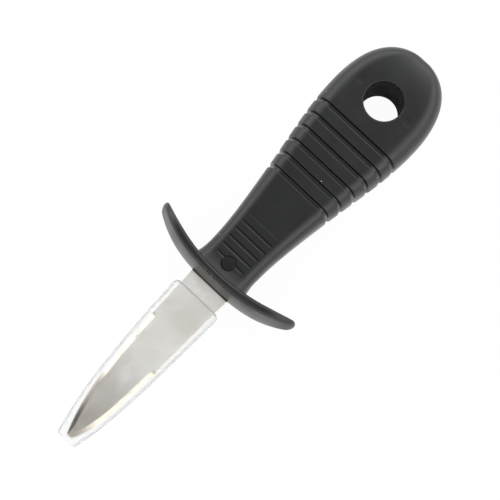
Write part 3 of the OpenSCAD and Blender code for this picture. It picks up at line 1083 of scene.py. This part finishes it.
        # The last groove, furthest from the guard, is shallower
        almost = add_node(tree, "ShaderNodeMath", (given["Count"], 1.5), operation="SUBTRACT")
        last = add_node(tree, "ShaderNodeMath", (index, almost), operation="GREATER_THAN")
        faded = add_node(tree, "ShaderNodeMath", (last, given["Fading"]), operation="MULTIPLY")
        depth = add_node(tree, "ShaderNodeMath", (1.0, faded), operation="SUBTRACT")
        size = add_node(tree, "ShaderNodeCombineXYZ", (1.0, length, depth))
        row = add_node(tree, "GeometryNodeInstanceOnPoints", {
            "Points": landed, "Instance": given["Geometry"], "Rotation": given["Turn"], "Scale": size})
        cutter = self.thumb_cutter()
        start = Vector((self.shape.pin_x - self.thumb_to_pin, 0.0, flat.value * self.ray_from)) * MM
        group.run(cutter, row, {
            "Count": self.thumb_count, "Start": start, "Pitch": (-self.thumb_pitch * MM, 0.0, 0.0),
            "Down": (0.0, 0.0, -float(flat.value)), "Turn": (0.0 if flat is Flat.UPPER else math.pi, 0, 0),
            "Longest": self.thumb_longest, "Shortening": self.thumb_shortening, "Fading": self.thumb_fading,
            "Body": body, "Material": material})
        return cutter

    def guard(self) -> Object:
        """Sweeps the crescent guard from tip to tip.

        Returns:
            The guard as a closed mesh.
        """
        s = self.shape
        half_span, half_h = s.guard_span / 2, s.guard_h / 2
        rings = []
        for a in np.radians(np.linspace(*self.guard_angles)):
            y = half_span * math.sin(a)
            back, front = s.guard_back(y), s.guard_front(y)
            in_tip = max(0.0, abs(y) - half_span + s.guard_tip_r) / s.guard_tip_r
            share = math.sqrt(max(0.0, 1 - in_tip ** 2))
            h = math.sqrt(max(0.0, half_h ** 2 - max(0.0, abs(y) - half_span + half_h) ** 2))
            middle, half = (back + front) / 2, (front - back) / 2 * share
            rings.append(self.guard_ring(middle - half, middle + half, y, h, s.guard_crown * share))
        tip_x = (s.guard_back(half_span) + s.guard_front(half_span)) / 2
        return loft("guard", rings, ((tip_x, -half_span, 0), (tip_x, half_span, 0)))

    def guard_ring(self, back: float, front: float, y: float, h: float,
                   crown: float) -> list[Sequence[float]]:
        """Ring across one arm: rounded edges, a straight face to the hand and a crowned face to the blade.

        Args:
            back: X of the face towards the hand.
            front: X of the face towards the blade, on the parting plane.
            y: place along the guard.
            h: half height there.
            crown: how far the front face falls back at its upper and lower edges.

        Returns:
            The ring's points.
        """
        hand_most, front_most, height_most = self.edge_most
        thickness = front - back
        e = min(self.guard_edge_r, thickness * hand_most, h * height_most)
        wide = min(self.front_edge[0], thickness * front_most)
        tall = min(self.front_edge[1], h * height_most)
        fullness = self.shape.guard_crown_fullness
        face = [(front - crown * (abs(z) / h) ** fullness, z) for z in np.linspace(-1, 1, 17) * (h - tall)]
        # The edge's arc starts with the slope that the crowned face ends with, within limits at the thin tips
        lean = crown * fullness / h * (1 - tall / h) ** (fullness - 1) * tall / wide
        from_share = min(0.9, lean / max(0.1, 1 - lean))
        start = math.asin(from_share)
        edge = [(face[-1][0] - wide * (1 - math.cos(q) / math.cos(start)),
                 h - tall + tall * (math.sin(q) - from_share) / (1 - from_share))
                for q in np.linspace(start, math.pi / 2, 14)[1:]]
        hand = [(back + e - e * math.sin(q), h - e + e * math.cos(q))
                for q in np.radians(np.linspace(0, 90, 14))]
        upper = edge + hand
        straight = [(back, z) for z in np.linspace(1, -1, 9)[1:-1] * (h - e)]
        ring = face + upper + straight + [(x, -z) for x, z in upper[::-1]]
        return [(x, y, z) for x, z in ring]

    def bore(self) -> Object:
        """Makes the cutter of the hanging hole with its rounded rims.

        Returns:
            The cutter.
        """
        out, top = self.hole_r + self.rim_r, self.shape.butt_t / 2
        rim = [(out - self.rim_r * math.cos(q), top - self.rim_r + self.rim_r * math.sin(q))
               for q in np.radians(np.linspace(0, 90, 9))]
        return lathe("bore", both_ends([*rim, (out, top + self.cutter_reach)]), (0, 0), steps=144)

    def mould_mark(self, y: float) -> Object:
        """Makes the cutter of one shallow round mark beside the hanging hole.

        Args:
            y: place of the mark.

        Returns:
            The cutter.
        """
        top = self.shape.skin(0.0)
        section = [(self.mark_r + out, top + over) for out, over in self.mark_section]
        return lathe("mould_mark", section, (0, y), steps=48)

    def pin_hole(self) -> Object:
        """Makes the cutter of the pin's hole, opened a little at both skins.

        Returns:
            The cutter.
        """
        s = self.shape
        section = [(s.pin_r + s.fit_gap + out, s.skin(s.pin_x) + over) for out, over in self.pin_mouth]
        return lathe("pin_hole", both_ends(section), (s.pin_x, 0), steps=96)

    def tang_slot(self) -> Object:
        """Makes the cutter of the room for the tang and its shoulders.

        Returns:
            The cutter.
        """
        b, gap = self.blade, self.shape.fit_gap
        half, wide = b.tang_w / 2 + gap, b.width / 2 + gap
        out, shoulder = b.root_x + self.cutter_reach, b.shoulder_x - gap
        end = [(b.tang_x + half - half * math.sin(q), half * math.cos(q))
               for q in np.radians(np.linspace(0, 180, 25))]
        outline = [(out, -wide), (out, wide), (shoulder, wide), (shoulder, half), *end,
                   (shoulder, -half), (shoulder, -wide)]
        z = b.thickness / 2 + gap
        return loft("tang_slot", [[(x, y, level) for x, y in outline] for level in (-z, z)])

    def slot_mouth(self) -> Object:
        """Makes the cutter that opens the slot's mouth round the blade's root.

        Returns:
            The cutter.
        """
        b = self.blade
        rings = []
        for past_root, flare in ((-self.mouth_depth, 0.0), (self.cutter_reach, self.mouth_flare)):
            x = b.root_x + past_root
            y, z = (size / 2 + self.shape.fit_gap + flare for size in (b.width, b.thickness))
            rings.append([(x, y, -z), (x, y, z), (x, -y, z), (x, -y, -z)])
        return loft("slot_mouth", rings)


@dataclass
class TangPin:
    """The pin through the neck and the tang, of which the slightly sunk ends show."""

    shape: HandleShape = HandleShape()
    finish: MouldedPolypropylene = MouldedPolypropylene(
        name="moulded_black_pin", deep="#060606", worn="#080808", roughness=0.36, mirror=0.38, dust_mm=40.0)
    crease: float = 40.0
    recess: float = 0.1
    edge_r: float = 0.22

    def build(self) -> Object:
        """Builds the pin and puts it in the frame.

        Returns:
            The finished piece.
        """
        s = self.shape
        r, half = s.pin_r - self.edge_r, s.skin(s.pin_x) - self.recess - self.edge_r
        edge = [(r + self.edge_r * math.cos(q), half + self.edge_r * math.sin(q))
                for q in np.radians(np.linspace(0, 90, 7))]
        piece = lathe("tang_pin_end", both_ends(edge), (s.pin_x, 0), steps=96)
        shade(piece, self.crease)
        dress(piece, self.finish.build(), "knife", "tang_pin")
        return piece


@dataclass
class Blade:
    """The stamped blade with its four ground bevels, its shoulders and the tang inside the neck."""

    shape: BladeShape = BladeShape()
    handle: HandleShape = HandleShape()
    finish: GroundStainless = GroundStainless()
    crease: float = 14.0
    arris: float = 0.06
    shoulder_step: float = 0.02
    most_ground: float = 0.96

    def build(self) -> Object:
        """Builds the blade and puts it in the frame.

        Returns:
            The finished piece.
        """
        piece = self.plate()
        hole_r = self.handle.pin_r + self.handle.fit_gap
        section = both_ends([(hole_r, self.shape.thickness)])
        cut(piece, lathe("tang_hole", section, (self.handle.pin_x, 0), steps=96))
        shade(piece, self.crease)
        dress(piece, self.finish.build(), "knife", "blade")
        return piece

    def plate(self) -> Object:
        """Skins the tang, the shoulders and the ground blade as one closed piece.

        Returns:
            The plate.
        """
        b = self.shape
        half = b.tang_w / 2
        rings = [self.ring(b.tang_x + half - half * math.cos(q), half * math.sin(q), half * math.sin(q), 0, 0)
                 for q in np.radians(np.linspace(4, 90, 16))]
        rings += [self.ring(b.shoulder_x, half, half, 0, 0),
                  self.ring(b.shoulder_x + self.shoulder_step, b.width / 2, b.width / 2, 0, 0)]
        starts = [b.grind_x(side) + run for side in BladeSide for run in (0, b.grind_run_in)]
        bend = b.root_x + b.length * np.sin(np.radians(np.linspace(0, 90, 90)))
        for x in np.unique(np.concatenate([bend, starts])):
            rings.append(self.ring(x, *(b.outline(x, side) for side in BladeSide),
                                   *(b.bevel(x, side) for side in BladeSide)))
        return loft("ground_blade", rings)

    def ring(self, x: float, back: float, edge: float, back_bevel: float,
             edge_bevel: float) -> list[Sequence[float]]:
        """Ring across the plate with a bevel on each side and slightly broken outer corners.

        Args:
            x: place along the plate.
            back: distance of the back from the middle line.
            edge: distance of the edge from the middle line.
            back_bevel: width of the bevel along the back.
            edge_bevel: width of the bevel along the edge.

        Returns:
            The ring's points.
        """
        b, a = self.shape, self.arris
        top = b.thickness / 2
        slope = (b.thickness - b.edge_t) / 2 / b.bevel_w
        ground = back_bevel + edge_bevel
        squeeze = min(1.0, (back + edge) * self.most_ground / ground) if ground else 1.0
        crest = top - (1 - squeeze) * b.bevel_w * slope
        back_bevel, edge_bevel = back_bevel * squeeze, edge_bevel * squeeze
        back_z, edge_z = crest - back_bevel * slope, crest - edge_bevel * slope
        upper = [(back, back_z - a), (back - a, back_z),
                 (back - max(back_bevel, 2 * a), crest if back_bevel else top),
                 (max(edge_bevel, 2 * a) - edge, crest if edge_bevel else top),
                 (a - edge, edge_z), (-edge, edge_z - a)]
        return [(x, y, z) for y, z in upper + [(y, -z) for y, z in upper[::-1]]]


@dataclass
class Sheath:
    """The clear sleeve over the blade, open at its mouth and closed past the tip."""

    blade: BladeShape = BladeShape()
    finish: ClearVinyl = ClearVinyl()
    crease: float = 60.0
    mouth_x: float = SHEATH_LOW[0]
    end_x: float = SHEATH_HIGH[0]
    wall: float = 0.6
    end_wall: float = 1.1
    face_gap: float = 0.3
    side_gap: float = 0.3
    side_room: float = 1.1
    tip_room: float = 1.95
    mouth_round: float = 2.8
    taper: float = 0.4
    back_fullness: float = 4.8
    edge_fullness: float = 3.6
    corner_share: float = 0.9
    end_flattening: float = 0.3
    steps: int = 60

    def build(self) -> Object:
        """Builds the sheath and puts it in the frame.

        Returns:
            The finished piece.
        """
        piece = self.shell()
        shade(piece, self.crease)
        dress(piece, self.finish.build(), "sheath", "sheath")
        return piece

    def side(self, x: float, side: BladeSide) -> float:
        """Inner side of the sheath, never closer to the blade than the side gap.

        Args:
            x: place along the sheath.
            side: the side along the blade's back or edge.

        Returns:
            The distance from the middle line.
        """
        fullness = self.back_fullness if side is BladeSide.BACK else self.edge_fullness
        w = min(1.0, max(0.0, (x - self.mouth_x) / (self.end_x - self.mouth_x)))
        lost = self.taper * w + (1 - self.taper) * w ** fullness
        root, end = self.blade.width / 2 + self.side_room, self.blade.tip_half(side) + self.tip_room
        mouth = min(1.0, max(0.0, (x - self.mouth_x) / self.mouth_round))
        round_in = (self.side_room - self.side_gap) * (1 - math.sqrt(1 - (1 - mouth) ** 2))
        nearest = self.blade.outline(x, side) + self.side_gap
        return max(nearest, end + (root - end) * (1 - lost) - round_in)

    def ring(self, x: float, place: float, grow: float, trim: float = 0.0) -> np.ndarray:
        """Ring across the sheath.

        Args:
            x: place whose width is used.
            place: X that the ring is put at.
            grow: how far it lies outside the inner face.
            trim: how much the rounded end has taken off.

        Returns:
            The ring's points.
        """
        back, edge = (self.side(x, side) + grow - trim for side in BladeSide)
        t = self.blade.thickness / 2 + self.face_gap + grow - trim * self.end_flattening
        corner = t * self.corner_share
        ring = shoulder_ring((back + edge) / 2, t, corner, corner, steps=16, flat_steps=8)
        return np.column_stack([np.full(len(ring), place), ring[:, 0] + (back - edge) / 2, ring[:, 1]])

    def shell(self) -> Object:
        """Skins the inner face, the rounded lip, the outer face and the rounded end as one closed shell.

        Returns:
            The sheath.
        """
        lip, close_x = self.wall / 2, self.end_x - self.end_wall
        # The rings lie closest where the mouth rounds in
        mouth = self.mouth_x + self.mouth_round * np.sin(np.radians(np.linspace(8, 90, 12))) ** 2
        straight = np.linspace(self.mouth_x + self.mouth_round, close_x, self.steps)[1:]
        along = np.concatenate([mouth[mouth > self.mouth_x + lip], straight])
        rings = [self.ring(x, x, 0) for x in along[::-1]]
        rings += [self.ring(self.mouth_x, self.mouth_x + lip - lip * math.sin(q), lip - lip * math.cos(q))
                  for q in np.radians(np.linspace(0, 180, 9))]
        rings += [self.ring(x, x, self.wall) for x in along]
        rings += [self.ring(close_x, close_x + self.end_wall * math.sin(q), self.wall,
                            self.end_wall * (1 - math.cos(q))) for q in np.radians(np.linspace(15, 90, 6))]
        middle = (self.blade.tip_half(BladeSide.BACK) - self.blade.tip_half(BladeSide.EDGE)) / 2
        return loft("clear_sheath_sleeve", rings, ((close_x, middle, 0), (self.end_x, middle, 0)))


@dataclass(frozen=True)
class SoftLamp:
    """A square lamp, with its place and size in millimetres and its power in watts."""

    name: str
    place: tuple[float, float, float]
    size: float
    power: float


@dataclass
class Studio:
    """White paper floor, soft light from all round and the camera of the photograph."""

    paper: StudioPaper = StudioPaper()
    paper_reach: float = 1500.0
    paper_gap: float = 0.02
    butt_support: tuple[float, float] = (4.0, -10.3)
    guard_support: tuple[float, float] = (75.8, -11.0)
    sky: str = "#fdfeff"
    zenith: float = 0.72
    horizon: float = 2.5
    sky_range: tuple[float, float] = (0.4, 0.93)
    dim: float = 0.7
    dim_range: tuple[float, float] = (0.0, 0.4)
    key: SoftLamp = SoftLamp("key", (-420, -60, 520), 420, 0.12)
    fill: SoftLamp = SoftLamp("fill", (520, 120, 480), 500, 0.03)
    lamp_aim: tuple[float, float, float] = (50, 0, 0)
    sensor_mm: float = 36.0
    focal_px: float = 1900.0
    image_px: float = 500.0
    see_to_m: float = 100.0
    # How the camera is turned about its own axes, and the origin's place from it
    camera_turn: tuple[float, float, float] = (-8.81, -1.741, 0.22)
    camera_shift: tuple[float, float, float] = (41.203, -44.549, 598.613)
    knife_angle: float = 133.6

    def build(self) -> None:
        """Builds the paper floor, the world, the lamps and the camera."""
        self.floor()
        self.world()
        for lamp in (self.key, self.fill):
            self.hang(lamp)
        self.camera()

    def floor(self) -> None:
        """Lays the paper under the guard's lower edge and the butt."""
        (x0, z0), (x1, z1) = self.butt_support, self.guard_support
        slope = (z1 - z0) / (x1 - x0)
        reach = self.paper_reach
        corners = ((-reach, -reach), (reach, -reach), (reach, reach), (-reach, reach))
        points = [(x, y, z0 + slope * (x - x0) - self.paper_gap) for x, y in corners]
        floor = piece_from("floor", points, [(0, 1, 2, 3)])
        floor.data.materials.append(self.paper.build())

    def world(self) -> None:
        """Lights the object most from the horizon and less towards the tip, while the camera sees white."""
        world = bpy.data.worlds.new("studio")
        bpy.context.scene.world = world
        world.use_nodes = True
        tree = world.node_tree
        tree.nodes.clear()
        way = add_node(tree, "ShaderNodeTexCoord").outputs["Generated"]
        along, _, up = add_node(tree, "ShaderNodeSeparateXYZ", (way,)).outputs
        level = add_node(tree, "ShaderNodeMapRange", (up, *self.sky_range, self.horizon, self.zenith))
        shaded = add_node(tree, "ShaderNodeMapRange", (along, *self.dim_range, 1.0, self.dim),
                          interpolation_type="SMOOTHSTEP")
        both = add_node(tree, "ShaderNodeMath", (level, shaded), operation="MULTIPLY")
        soft = add_node(tree, "ShaderNodeBackground", {"Color": linear(self.sky), "Strength": both})
        white = add_node(tree, "ShaderNodeBackground", {"Color": linear("#ffffff")})
        seen = add_node(tree, "ShaderNodeLightPath").outputs["Is Camera Ray"]
        mixed = add_node(tree, "ShaderNodeMixShader", (seen, soft, white))
        add_node(tree, "ShaderNodeOutputWorld", {"Surface": mixed})

    def hang(self, lamp: SoftLamp) -> None:
        """Hangs one lamp and points it at the middle of the knife.

        Args:
            lamp: the lamp's place, size and power.
        """
        light = bpy.data.lights.new(lamp.name, "AREA")
        light.size = lamp.size * MM
        light.energy = lamp.power
        hung = bpy.data.objects.new(lamp.name, light)
        hung.location = Vector(lamp.place) * MM
        hung.rotation_euler = (Vector(self.lamp_aim) * MM - hung.location).to_track_quat("-Z", "Y").to_euler()
        bpy.context.scene.collection.objects.link(hung)

    def camera(self) -> None:
        """Puts the camera where the photograph was taken from."""
        data = bpy.data.cameras.new("camera")
        data.sensor_width = self.sensor_mm
        data.lens = self.focal_px / self.image_px * self.sensor_mm
        data.clip_end = self.see_to_m
        camera = bpy.data.objects.new("camera", data)
        bpy.context.scene.collection.objects.link(camera)
        a = math.radians(self.knife_angle)
        lay = Matrix(((math.cos(a), math.sin(a), 0), (math.sin(a), -math.cos(a), 0), (0, 0, -1)))
        turns = [Matrix.Rotation(math.radians(v), 3, axis) for v, axis in zip(self.camera_turn, "XYZ")]
        seen = turns[2] @ turns[1] @ turns[0] @ lay
        place = seen.transposed() @ (-Vector(self.camera_shift) * MM)
        facing = Matrix.Diagonal((1, -1, -1))
        camera.matrix_world = Matrix.Translation(place) @ (facing @ seen).transposed().to_4x4()
        bpy.context.scene.camera = camera


def main() -> None:
    """Builds and reports every piece."""
    logging.basicConfig(level=logging.INFO, format="%(name)s %(message)s")
    bpy.context.scene.view_settings.view_transform = "Standard"
    for part in (Handle(), TangPin(), Blade(), Sheath()):
        piece = part.build()
        log.info("%s: %d faces", piece.name, len(piece.data.polygons))
    Studio().build()


if __name__ == "__main__":
    main()
